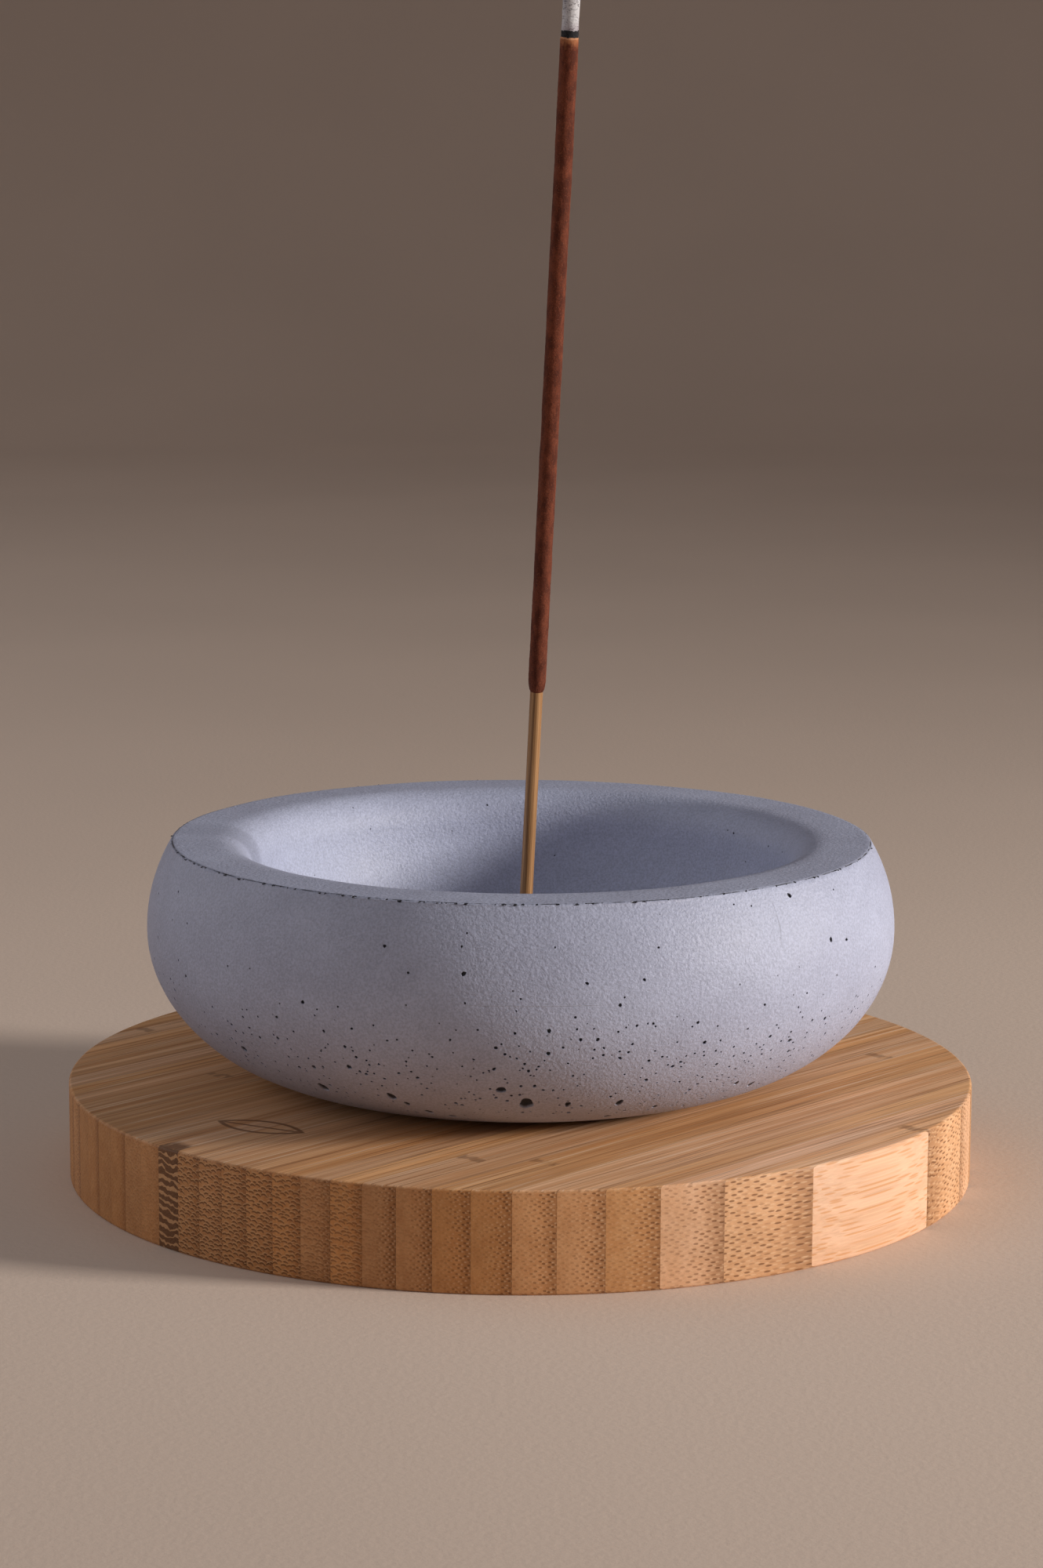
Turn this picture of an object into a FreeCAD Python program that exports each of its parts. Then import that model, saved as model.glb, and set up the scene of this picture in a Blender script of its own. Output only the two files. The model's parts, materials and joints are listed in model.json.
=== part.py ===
"""Incense burner: a cast concrete bowl on a round, laminated bamboo tray.

The tray is sawn from a board of edge-glued bamboo strips. The bowl stands loose on it and lifts
straight off. A blind bore in the bowl's floor holds one incense stick at a lean, and the stick
draws out along that bore. The stick is a bamboo core with incense paste on its upper part, partly
burnt: a char ring marks the burning edge and the ash still stands above it.

Units are millimetres. +Z is up, -Y is the front, and the origin is the centre of the tray's
underside.
"""

import FreeCAD
import Part
import math
import os

V = FreeCAD.Vector

# ---- driving dimensions: tray -------------------------------------------------------------------
tray_radius = 70.0
tray_thickness = 15.0
tray_edge_chamfer = 0.4
strip_thickness = 4.43
grain_angle = 47.5          # degrees from +X to the strips' length, about +Z

# ---- driving dimensions: bowl, heights from its own base -----------------------------------------
bowl_height = 37.0
base_radius = 28.3          # flat that the bowl stands on
widest_radius = 57.7
widest_height = 23.5
rim_outer_radius = 53.8
rim_edge_radius = 0.3
lip_radius = 5.0            # rounding from the flat rim into the cavity
cavity_radius = 41.5
floor_radius = 22.0
floor_thickness = 10.0

# ---- driving dimensions: incense stick, lengths along its axis from the bowl's floor --------------
lean_forward = 10.0         # degrees from upright, towards -Y
lean_right = 2.5            # degrees from upright, towards +X
bore_depth = 8.0
bore_clearance = 0.08       # radial
core_radius = 1.0
paste_radius = 1.4
char_radius = 1.25
ash_radius = 1.28
paste_start = 51.7
paste_end = 149.7
char_length = 0.9
ash_length = 10.5

# ---- derived --------------------------------------------------------------------------------------
floor_point = V(0, 0, tray_thickness + floor_thickness)
stick_direction = V(
    math.tan(math.radians(lean_right)), -math.tan(math.radians(lean_forward)), 1
).normalize()
char_end = paste_end + char_length

UP = V(0, 0, 1)


def along_stick(distance):
    """Point on the stick's axis, by its distance from the bowl's floor."""
    return floor_point + stick_direction * distance


def rod(radius, start, end):
    """Cylinder on the stick's axis."""
    return Part.makeCylinder(radius, end - start, along_stick(start), stick_direction)


def sleeve(outer_radius, inner_radius, start, end):
    """Tube on the stick's axis."""
    return rod(outer_radius, start, end).cut(rod(inner_radius, start, end))


def quarter_ellipse(centre, major_end, minor_end):
    """Edge of an ellipse from the end of its major axis to the end of its minor axis."""
    return Part.Ellipse(major_end, minor_end, centre).toShape(0, math.pi / 2)


def make_tray_disc():
    """The whole tray before it is divided into strips, with both of its rims chamfered."""
    disc = Part.makeCylinder(tray_radius, tray_thickness)
    rims = [edge for edge in disc.Edges if isinstance(edge.Curve, Part.Circle)]
    return disc.makeChamfer(tray_edge_chamfer, rims)


def strip_bounds():
    """Distances of the glue lines from the tray's centre line, with the tray's edges at both ends."""
    half = strip_thickness / 2
    lines_each_side = int((tray_radius - half) // strip_thickness) + 1
    lines = [half + strip_thickness * i for i in range(lines_each_side)]
    return [-tray_radius] + [-line for line in reversed(lines)] + lines + [tray_radius]


def make_strips():
    """Bamboo strips, from the back left of the tray to its front right."""
    disc = make_tray_disc()
    bounds = strip_bounds()
    margin = 1.0
    strips = []
    for near, far in zip(bounds, bounds[1:]):
        low = near - margin if near == bounds[0] else near
        high = far + margin if far == bounds[-1] else far
        slab = Part.makeBox(
            2 * (tray_radius + margin),
            high - low,
            tray_thickness + 2 * margin,
            V(-tray_radius - margin, -high, -margin),
        )
        slab.rotate(V(0, 0, 0), UP, grain_angle)
        strips.append(disc.common(slab))
    return strips


def bowl_outline():
    """Half section of the bowl in the XZ plane, as a closed wire."""
    base = tray_thickness
    rim = base + bowl_height
    widest = base + widest_height
    lip_start = cavity_radius + lip_radius
    lip_end = rim - lip_radius
    floor = base + floor_thickness

    # the wall's upper part is an arc that is upright at the widest point and ends at the rim
    rise = bowl_height - widest_height
    inset = widest_radius - rim_outer_radius
    wall_radius = (rise**2 + inset**2) / (2 * inset)
    half_turn = math.asin(rise / wall_radius) / 2
    wall_centre = widest_radius - wall_radius
    wall_middle = V(
        wall_centre + wall_radius * math.cos(half_turn),
        0,
        widest + wall_radius * math.sin(half_turn),
    )
    lip_middle = V(
        lip_start - lip_radius * math.sqrt(0.5),
        0,
        lip_end + lip_radius * math.sqrt(0.5),
    )
    edges = [
        Part.LineSegment(V(0, 0, base), V(base_radius, 0, base)).toShape(),
        quarter_ellipse(
            V(base_radius, 0, widest), V(widest_radius, 0, widest), V(base_radius, 0, base)
        ),
        Part.Arc(V(widest_radius, 0, widest), wall_middle, V(rim_outer_radius, 0, rim)).toShape(),
        Part.LineSegment(V(rim_outer_radius, 0, rim), V(lip_start, 0, rim)).toShape(),
        Part.Arc(V(lip_start, 0, rim), lip_middle, V(cavity_radius, 0, lip_end)).toShape(),
        quarter_ellipse(
            V(floor_radius, 0, lip_end), V(floor_radius, 0, floor), V(cavity_radius, 0, lip_end)
        ),
        Part.LineSegment(V(floor_radius, 0, floor), V(0, 0, floor)).toShape(),
        Part.LineSegment(V(0, 0, floor), V(0, 0, base)).toShape(),
    ]
    return Part.Wire(Part.sortEdges(edges)[0])


def make_bowl():
    """Bowl of revolution with its rim's outer edge eased and the stick's blind bore cut."""
    body = Part.Face(bowl_outline()).revolve(V(0, 0, 0), UP, 360)
    rim_height = tray_thickness + bowl_height
    rim_edges = [
        edge
        for edge in body.Edges
        if isinstance(edge.Curve, Part.Circle)
        and abs(edge.Curve.Radius - rim_outer_radius) < 1e-3
        and abs(edge.Curve.Center.z - rim_height) < 1e-3
    ]
    body = body.makeFillet(rim_edge_radius, rim_edges)
    above_floor = 2.0
    return body.cut(rod(core_radius + bore_clearance, -bore_depth, above_floor))


def make_stick():
    """The four pieces of the burning incense stick."""
    return {
        "stick_core": rod(core_radius, -bore_depth, char_end),
        "incense_paste": sleeve(paste_radius, core_radius, paste_start, paste_end),
        "char_ring": sleeve(char_radius, core_radius, paste_end, char_end),
        "ash_column": rod(ash_radius, char_end, char_end + ash_length),
    }


def main():
    os.makedirs("parts", exist_ok=True)
    shapes = {"concrete_bowl": make_bowl(), **make_stick()}
    for number, strip in enumerate(make_strips(), start=1):
        shapes[f"bamboo_strip_{number:02d}"] = strip
    for name, shape in shapes.items():
        if not shape.isValid() or len(shape.Solids) != 1:
            raise ValueError(f"{name} is not one valid solid")
        shape.Solids[0].exportStep(f"parts/{name}.step")
        print(f"{name}: {shape.Volume / 1000:.2f} cm3")


main()
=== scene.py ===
"""Looks of the incense burner: concrete bowl, laminated bamboo tray and burning stick.

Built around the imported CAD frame: +Z is up, -Y the front, and the origin is the centre of the
tray's underside. Meshes and materials are worked out in millimetres, lights and camera in metres.
"""

import json
import math
import random
from functools import reduce

import bmesh
import bpy
import numpy as np
from mathutils import Matrix, Vector, noise
from mathutils.geometry import delaunay_2d_cdt


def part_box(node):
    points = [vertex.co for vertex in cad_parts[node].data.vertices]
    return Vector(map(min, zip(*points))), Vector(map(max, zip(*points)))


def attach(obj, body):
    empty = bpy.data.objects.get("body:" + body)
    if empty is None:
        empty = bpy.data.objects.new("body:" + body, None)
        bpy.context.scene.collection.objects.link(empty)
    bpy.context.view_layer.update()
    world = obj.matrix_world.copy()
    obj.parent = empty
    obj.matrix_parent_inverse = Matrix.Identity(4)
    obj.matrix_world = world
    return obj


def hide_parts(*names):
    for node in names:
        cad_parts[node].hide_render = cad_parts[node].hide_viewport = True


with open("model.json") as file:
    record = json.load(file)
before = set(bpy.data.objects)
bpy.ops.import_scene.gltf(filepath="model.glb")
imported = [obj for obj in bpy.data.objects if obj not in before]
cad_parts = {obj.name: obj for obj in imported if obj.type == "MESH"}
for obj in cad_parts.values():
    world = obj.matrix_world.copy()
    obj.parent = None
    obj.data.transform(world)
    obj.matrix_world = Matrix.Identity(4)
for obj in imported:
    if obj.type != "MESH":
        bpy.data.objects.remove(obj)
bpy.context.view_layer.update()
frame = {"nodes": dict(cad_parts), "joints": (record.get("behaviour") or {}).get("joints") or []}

MM = 0.001
TURN = 2 * math.pi

# ---- sizes in millimetres, read from the frame where it has them ----
STRIP_NODES = sorted(name for name in frame["nodes"] if name.startswith("bamboo_strip_"))
strip_boxes = [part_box(name) for name in STRIP_NODES]
TRAY_RADIUS = max(high.x for low, high in strip_boxes) / MM
TRAY_TOP = strip_boxes[0][1].z / MM
TRAY_ROUNDING = 0.45
MIDDLE_STRIP = (len(STRIP_NODES) - 1) // 2
STRIP_WIDTH = 4.43
GRAIN_ANGLE = math.radians(47.5)

bowl_low, bowl_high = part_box("concrete_bowl")
BASE_Z = bowl_low.z / MM
RIM_Z = bowl_high.z / MM
WIDEST_RADIUS = bowl_high.x / MM
WIDEST_Z = BASE_Z + 23.5
BASE_RADIUS = 28.3
RIM_RADIUS = 53.8
RIM_EDGE = 0.3
LIP_RADIUS = 5.0
CAVITY_RADIUS = 41.5
FLOOR_RADIUS = 22.0
FLOOR_Z = BASE_Z + 10.0
BORE_RADIUS = 1.08
BORE_DEPTH = 8.0

STICK_JOINT = next(joint for joint in frame["joints"] if joint["name"] == "stick_lift")
STICK_AXIS = Vector(STICK_JOINT["axis"]).normalized()
STICK_SIDE = (Vector((1, 0, 0)) - STICK_AXIS * STICK_AXIS.x).normalized()
STICK_FRONT = STICK_AXIS.cross(STICK_SIDE)
STICK_FOOT = Vector((0, 0, FLOOR_Z))      # the stick's distances are counted from here
CORE_RADIUS = 1.0
PASTE_RADIUS = 1.4
CHAR_RADIUS = 1.25
ASH_RADIUS = 1.28
PASTE_START = 51.7
PASTE_END = 149.7
CHAR_END = 150.6
ASH_END = 161.1


# ---- meshes ----
def add_object(mesh):
    piece = bpy.data.objects.new(mesh.name, mesh)
    bpy.context.scene.collection.objects.link(piece)
    return piece


def finish_piece(mesh, body, node, material, smooth_angle):
    """Puts a mesh into the scene, riding on a CAD body in place of one of its nodes."""
    mesh.polygons.foreach_set("use_smooth", [True] * len(mesh.polygons))
    mesh.set_sharp_from_angle(angle=math.radians(smooth_angle))
    mesh.materials.append(material)
    piece = add_object(mesh)
    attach(piece, body)
    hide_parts(node)


def mesh_from(name, points, faces):
    """Mesh from points in millimetres."""
    mesh = bpy.data.meshes.new(name)
    mesh.from_pydata([tuple(MM * value for value in point) for point in points], [], faces)
    mesh.validate()
    return mesh


def ellipse(centre, half_width, half_height, start, end, steps):
    """Points of an ellipse in the profile plane, from angle start to end in degrees."""
    angles = np.radians(np.linspace(start, end, steps + 1))
    return [
        (centre[0] + half_width * math.cos(a), centre[1] + half_height * math.sin(a))
        for a in angles
    ]


def arc(centre, radius, start, end, steps):
    return ellipse(centre, radius, radius, start, end, steps)


def level_ring(radius, height, corners):
    """Places round the Z axis at one height."""
    angles = [TURN * i / corners for i in range(corners)]
    return [(radius * math.cos(a), radius * math.sin(a), height) for a in angles]


def bridge(lower, upper):
    """Faces between two rings that have as many corners each."""
    pairs = list(zip(lower, upper))
    return [(a, c, d, b) for (a, b), (c, d) in zip(pairs, pairs[1:] + pairs[:1])]


# ---- tray ----
def tray_disc(corners=720):
    """Whole tray with both rims rounded, before it is divided into strips."""
    inner = TRAY_RADIUS - TRAY_ROUNDING
    outline = arc((inner, TRAY_ROUNDING), TRAY_ROUNDING, -90, 0, 5)
    outline += arc((inner, TRAY_TOP - TRAY_ROUNDING), TRAY_ROUNDING, 0, 90, 5)
    disc = bmesh.new()
    rings = []
    for radius, height in outline:
        places = level_ring(MM * radius, MM * height, corners)
        rings.append([disc.verts.new(place) for place in places])
    disc.faces.new(reversed(rings[0]))
    disc.faces.new(rings[-1])
    for lower, upper in zip(rings, rings[1:]):
        for face in bridge(lower, upper):
            disc.faces.new(face)
    return disc


def make_strips(materials):
    """The tray's bamboo strips, cut from one disc along their glue lines."""
    disc = tray_disc()
    across = Vector((math.sin(GRAIN_ANGLE), -math.cos(GRAIN_ANGLE), 0))
    for number, node in enumerate(STRIP_NODES):
        strip = disc.copy()
        for side in (-1, 1):
            line = MM * STRIP_WIDTH * (number - MIDDLE_STRIP + 0.5 * side)
            if abs(line) > MM * TRAY_RADIUS:
                continue
            everything = strip.verts[:] + strip.edges[:] + strip.faces[:]
            cut = bmesh.ops.bisect_plane(
                strip, geom=everything, plane_co=across * line, plane_no=across * side,
                clear_outer=True,
            )
            rim = [item for item in cut["geom_cut"] if isinstance(item, bmesh.types.BMEdge)]
            bmesh.ops.contextual_create(strip, geom=rim)
        bmesh.ops.recalc_face_normals(strip, faces=strip.faces[:])
        mesh = bpy.data.meshes.new(node.replace("bamboo", "tray"))
        strip.to_mesh(mesh)
        strip.free()
        finish_piece(mesh, "tray", node, materials[number], 30.0)
    disc.free()


# ---- bowl ----
POLE_RADIUS = 6.0       # inside this radius the base and the floor are closed by rings of their own


class BowlSurface:
    """The bowl's outline as a curve, from the base out, up, over the rim and down to the floor."""

    def __init__(self):
        rise = RIM_Z - WIDEST_Z
        inset = WIDEST_RADIUS - RIM_RADIUS
        wall_radius = (rise**2 + inset**2) / (2 * inset)
        wall_turn = math.degrees(math.asin(rise / wall_radius))
        lip_z = RIM_Z - LIP_RADIUS
        lip_start = CAVITY_RADIUS + LIP_RADIUS
        outline = [(POLE_RADIUS, BASE_Z), (BASE_RADIUS, BASE_Z)]
        outline += ellipse(
            (BASE_RADIUS, WIDEST_Z), WIDEST_RADIUS - BASE_RADIUS, WIDEST_Z - BASE_Z, -90, 0, 400
        )[1:]
        outline += arc((WIDEST_RADIUS - wall_radius, WIDEST_Z), wall_radius, 0, wall_turn, 100)[1:]
        crest = len(outline) - 1
        outline += [(lip_start, RIM_Z)]
        outline += arc((lip_start, lip_z), LIP_RADIUS, 90, 180, 60)[1:]
        outline += ellipse(
            (FLOOR_RADIUS, lip_z), CAVITY_RADIUS - FLOOR_RADIUS, lip_z - FLOOR_Z, 0, -90, 300
        )[1:]
        outline += [(POLE_RADIUS, FLOOR_Z)]
        points = self.resample(self.round_crest(np.array(outline), crest), 0.04)
        steps = np.diff(points, axis=0)
        lengths = np.hypot(steps[:, 0], steps[:, 1])
        middle_radius = (points[1:, 0] + points[:-1, 0]) / 2
        self.length = np.concatenate([[0], np.cumsum(lengths)])
        self.level = np.concatenate([[0], np.cumsum(lengths / middle_radius)])
        self.radius, self.height = points[:, 0], points[:, 1]
        tangent = np.gradient(points, self.length, axis=0)
        tangent /= np.linalg.norm(tangent, axis=1)[:, None]
        self.normal = np.stack([tangent[:, 1], -tangent[:, 0]], axis=1)
        rim_distance = np.hypot(self.radius - RIM_RADIUS, self.height - RIM_Z)
        self.crest = self.length[np.argmin(rim_distance)]
        self.total = self.length[-1]

    @staticmethod
    def resample(points, step):
        """The same line through points that are evenly spaced, about a step apart."""
        lengths = np.hypot(*np.diff(points, axis=0).T)
        length = np.concatenate([[0], np.cumsum(lengths)])
        even = np.linspace(0, length[-1], int(length[-1] / step) + 1)
        return np.stack([np.interp(even, length, points[:, i]) for i in (0, 1)], axis=1)

    @staticmethod
    def round_crest(points, crest):
        """Rounds the corner at index crest with a small quadratic curve."""
        corner = points[crest]
        into = corner - points[crest - 1]
        into /= np.linalg.norm(into)
        out = points[crest + 1] - corner
        out /= np.linalg.norm(out)
        start = corner - into * RIM_EDGE
        end = corner + out * RIM_EDGE
        t = np.linspace(0, 1, 12)[:, None]
        curve = (1 - t) ** 2 * start + 2 * t * (1 - t) * corner + t**2 * end
        return np.concatenate([points[:crest], curve, points[crest + 1:]])

    def at(self, length, values):
        return np.interp(length, self.length, values)

    def radius_at(self, length):
        return float(self.at(length, self.radius))

    def wall_length(self, height):
        """Length along the outer wall at which it is that height above the base."""
        outside = self.length <= self.crest
        return float(np.interp(BASE_Z + height, self.height[outside], self.length[outside]))


class Pits:
    """Air holes left in the concrete, as rows of (angle, length, radius, depth, tall).

    length is along the bowl's outline, and tall is how much a pit is stretched that way.
    """

    def __init__(self, surface, rng):
        self.surface = surface
        self.rng = rng
        self.rows = []

    def add(self, angle, length, radius, depth, tall=1.0):
        """Adds a pit unless it would run into another one or into the mesh's seam."""
        angle %= TURN
        around = self.surface.radius_at(length)
        if min(angle, TURN - angle) * around < 2.2 * radius + 0.3:
            return False
        if self.rows:
            angles, lengths, radii = np.array(self.rows)[:, :3].T
            distance = np.hypot((angles - angle) * around, lengths - length)
            if np.any(distance < 1.4 * (radii + radius) + 0.05):
                return False
        self.rows.append((angle, length, radius, depth, tall))
        return True


# the largest air holes at the front: degrees from the front towards the right, height above the
# tray and radius in millimetres
LARGE_PITS = [
    (1, 7.0, 1.1), (-3, 9.7, 0.76), (-22, 7.1, 0.7), (8, 6.7, 0.55), (17, 6.5, 0.68),
    (-35.5, 7.0, 0.85), (-49, 11.5, 0.6), (-27, 12.0, 0.45), (-34, 11.0, 0.4), (-17, 4.2, 0.58),
    (-13, 3.4, 0.6), (-20, 5.8, 0.45), (17, 3.2, 0.5), (25, 4.8, 0.4), (40, 15.5, 0.3),
    (45, 14.0, 0.4), (4, 19.5, 0.36), (11, 18.0, 0.3), (4, 16.0, 0.34), (26, 19.5, 0.27),
    (14, 23.0, 0.27), (44, 6.5, 0.5), (39, 7.6, 0.38), (64, 5.0, 0.45), (-8, 27.6, 0.37),
    (45, 35.4, 0.42), (52, 28.2, 0.36),
]
FRONT = -math.pi / 2
WALL_PITS = 1350
BACK_PITS = 26
CAVITY_PITS = 40


def scatter_pits(surface):
    """All air holes: many low on the wall and few above, with a row of them along the rim's edge."""
    rng = random.Random(11)
    pits = Pits(surface, rng)
    for degrees, height, radius in LARGE_PITS:
        angle = FRONT + math.radians(degrees)
        tall = 1.5 if height < 8 else 1.0
        pits.add(angle, surface.wall_length(height), radius, radius * 0.9, tall)
    add_rim_pits(pits, rng, surface.crest)

    lowest = surface.wall_length(1.0)
    placed = 0
    while placed < WALL_PITS:
        length = rng.uniform(lowest, surface.crest - 0.8)
        height = float(surface.at(length, surface.height)) - BASE_Z
        reach = 6.8 if height > 12 else 9.5
        share = 0.03 + 0.95 * math.exp(-(((height - 12.0) / reach) ** 2))
        if rng.random() > share:
            continue
        radius = rng.uniform(0.15, 0.21) if rng.random() < 0.78 else rng.uniform(0.21, 0.32)
        depth = radius * rng.uniform(1.0, 1.6)
        placed += pits.add(rng.uniform(0, TURN), length, radius, depth)
    for _ in range(BACK_PITS):
        length = rng.uniform(surface.wall_length(2.0), surface.wall_length(13.0))
        radius = rng.uniform(0.35, 0.8)
        angle = rng.uniform(math.radians(80), math.radians(280)) + FRONT
        pits.add(angle, length, radius, radius * rng.uniform(0.6, 0.9))
    for _ in range(CAVITY_PITS):
        length = rng.uniform(surface.crest + 1.0, surface.total - 3.0)
        radius = rng.uniform(0.1, 0.19)
        pits.add(rng.uniform(0, TURN), length, radius, radius * rng.uniform(0.8, 1.4))
    return pits


def add_rim_pits(pits, rng, crest):
    """Chips along the rim's edge at the front left, then smaller ones all round it."""
    for degrees in range(-68, 12, 4):
        angle = FRONT + math.radians(degrees + rng.uniform(-1.5, 1.5))
        radius = rng.uniform(0.2, 0.38)
        pits.add(angle, crest - rng.uniform(0.05, 0.3), radius, radius * 0.6)
    angle = 0.0
    while angle < TURN:
        radius = 0.12 + min(rng.expovariate(9.0), 0.3)
        offset = rng.uniform(-0.05, 0.12)
        pits.add(angle, crest - offset, radius, radius * rng.uniform(0.5, 0.9))
        angle += rng.choice((0.5, 1.0, 1.6, 3.5, 6.0)) * rng.uniform(0.6, 1.4) / RIM_RADIUS


def base_points(surface):
    """Even staggered rows of points over the bowl's outline, closer together at the rim's edge."""

    def gap_at(length):
        return min(1.8, 0.3 + 0.22 * abs(length - surface.crest))

    rows = [0.0]
    while rows[-1] < surface.total:
        rows.append(rows[-1] + 0.87 * gap_at(rows[-1]))
    rows = np.array(rows) * surface.total / rows[-1]
    angles, lengths = [], []
    for row, length in enumerate(rows):
        count = max(48, int(TURN * surface.radius_at(length) / gap_at(length)))
        shift = 0.5 * (row % 2) if 0 < row < len(rows) - 1 else 0.0
        for i in range(count):
            angles.append(TURN * (i + shift) / count)
            lengths.append(length)
        if shift:
            angles.append(0.0)
            lengths.append(length)
    return np.array(angles), np.array(lengths)


def points_between_pits(surface, pits):
    """The base points without those that lie in or right beside a pit."""
    angles, lengths = base_points(surface)
    removable = (lengths > 0) & (lengths < surface.total) & (angles > 0)
    keep = np.ones(len(angles), bool)
    for angle, length, radius, _, tall in pits.rows:
        around = surface.radius_at(length)
        distance = np.hypot((angles - angle) * around, (lengths - length) / tall)
        keep &= ~((distance < 1.35 * radius + 0.12) & removable)
    return angles[keep], lengths[keep]


def pit_points(surface, angle, length, radius, depth, tall, rng):
    """Rings of points of one pit, as (angle, length, depth, share of depth)."""
    around = surface.radius_at(length)
    if radius < 0.2:
        corners, rings = 8, [(1.25, 0.0), (1.0, 0.0), (0.84, 0.8)]
    elif radius < 0.34:
        corners, rings = 12, [(1.2, 0.0), (1.0, 0.0), (0.88, 0.6), (0.5, 0.92)]
    else:
        corners = 18 if radius < 0.6 else 30
        rings = [(1.14, 0.0), (1.0, 0.0), (0.9, 0.45), (0.7, 0.82), (0.4, 0.97)]
    stretch = rng.uniform(0.74, 1.0)
    heading = rng.uniform(0, math.pi)
    lobes = [(k, rng.uniform(0, TURN), rng.uniform(0.02, 0.09)) for k in (2, 3, 5)]
    points = [(angle, length, depth, 1.0)]
    for share, sink in rings:
        turn = rng.uniform(0, 0.3)
        for i in range(corners):
            a = TURN * i / corners + turn
            wobble = 1 + sum(size * math.sin(k * a + phase) for k, phase, size in lobes)
            x = share * radius * wobble * math.cos(a)
            y = share * radius * wobble * math.sin(a) * stretch
            across = x * math.cos(heading) - y * math.sin(heading)
            along = (x * math.sin(heading) + y * math.cos(heading)) * tall
            points.append((angle + across / around, length + along, sink * depth, sink))
    return points


def bowl_faces(surface, angles, lengths):
    """Triangles between the points, found on a flat map of the outline that keeps its angles."""
    levels = np.interp(lengths, surface.length, surface.level)
    seam = np.flatnonzero(angles == 0.0)
    flat = [Vector((a, level)) for a, level in zip(angles, levels)]
    flat += [Vector((TURN, levels[i])) for i in seam]
    twins = np.concatenate([np.arange(len(angles)), seam])
    _, _, triangles, sources, _, _ = delaunay_2d_cdt(flat, [], [], 0, 1e-7)
    source = [int(twins[items[0]]) for items in sources]
    return [tuple(source[i] for i in triangle) for triangle in triangles]


def place_on_bowl(surface, angles, lengths, sinks):
    """Points in space, with the slight unevenness of a cast surface away from base and bore."""
    radius = surface.at(lengths, surface.radius)
    height = surface.at(lengths, surface.height)
    normal_out = surface.at(lengths, surface.normal[:, 0])
    normal_up = surface.at(lengths, surface.normal[:, 1])
    inside = lengths > surface.crest
    points = []
    for a, within, sink, r, z, out, up in zip(
        angles, inside, sinks, radius, height, normal_out, normal_up
    ):
        place = Vector((r * math.cos(a), r * math.sin(a), z))
        wave = noise.noise(place / 14.0) * 0.07 + noise.noise(place / 4.0) * 0.018
        near_base = min(1.0, max(0.0, (z - BASE_Z) / 4.0))
        near_bore = min(1.0, max(0.0, (r - POLE_RADIUS) / 4.0)) if within else 1.0
        push = wave * near_base * near_bore - sink
        points.append((
            place.x + out * push * math.cos(a),
            place.y + out * push * math.sin(a),
            place.z + up * push,
        ))
    return points


def row_at(angles, lengths, value):
    """Indices of the points on the first or last row, in order round the bowl."""
    members = np.flatnonzero(np.abs(lengths - value) < 1e-9)
    return sorted((int(i) for i in members), key=lambda i: angles[i])


def close_base(points, faces, ring):
    centre = len(points)
    points.append((0.0, 0.0, BASE_Z))
    for i, j in zip(ring, ring[1:] + ring[:1]):
        faces.append((centre, j, i))


def off_stick_axis(radius, a):
    """Step from the stick's axis, at right angles to it."""
    return (STICK_SIDE * math.cos(a) + STICK_FRONT * math.sin(a)) * radius


def close_floor(points, faces, ring, turn):
    """Rings from the floor's inner row to the bore's mouth, down its wall and across its bottom.

    ring holds the inner row's points, and turn their angles.
    """

    def on_floor(radius, a):
        """Where a line beside the bore's axis meets the floor."""
        offset = off_stick_axis(radius, a)
        return STICK_FOOT + offset - STICK_AXIS * (offset.z / STICK_AXIS.z)

    mouth = [on_floor(BORE_RADIUS + 0.3, a) for a in turn]
    outer = [Vector((POLE_RADIUS * math.cos(a), POLE_RADIUS * math.sin(a), FLOOR_Z)) for a in turn]
    rows = [[o.lerp(m, share) for o, m in zip(outer, mouth)] for share in (0.35, 0.65, 0.85)]
    rows.append(mouth)
    rows.append([on_floor(BORE_RADIUS + 0.1, a) - Vector((0, 0, 0.08)) for a in turn])
    for depth in (0.5, 2.0, 4.0, 6.0, BORE_DEPTH):
        middle = STICK_FOOT - STICK_AXIS * depth
        rows.append([middle + off_stick_axis(BORE_RADIUS, a) for a in turn])
    for row in rows:
        below = list(range(len(points), len(points) + len(row)))
        points.extend(tuple(place) for place in row)
        faces.extend(bridge(ring, below))
        ring = below
    faces.append(tuple(ring))


def make_bowl(material):
    """The bowl as one closed mesh, whose attribute "pit" is how deep a point lies in a pit, which the
    concrete paints as shade.
    """
    surface = BowlSurface()
    pits = scatter_pits(surface)
    angles, lengths = points_between_pits(surface, pits)
    holes = np.array([point for row in pits.rows for point in pit_points(surface, *row, pits.rng)])
    smooth = np.zeros(len(angles))
    angles = np.concatenate([angles, holes[:, 0]])
    lengths = np.concatenate([lengths, holes[:, 1]])
    sinks = np.concatenate([smooth, holes[:, 2]])
    shares = np.concatenate([smooth, holes[:, 3]])
    faces = bowl_faces(surface, angles, lengths)
    points = place_on_bowl(surface, angles, lengths, sinks)
    close_base(points, faces, row_at(angles, lengths, 0.0))
    floor_row = row_at(angles, lengths, surface.total)
    close_floor(points, faces, floor_row, [angles[i] for i in floor_row])
    mesh = mesh_from("cast_bowl", points, faces)
    values = np.zeros(len(points), np.float32)
    values[:len(shares)] = shares
    mesh.attributes.new("pit", "FLOAT", "POINT").data.foreach_set("value", values)
    finish_piece(mesh, "bowl", "concrete_bowl", material, 42.0)


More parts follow.
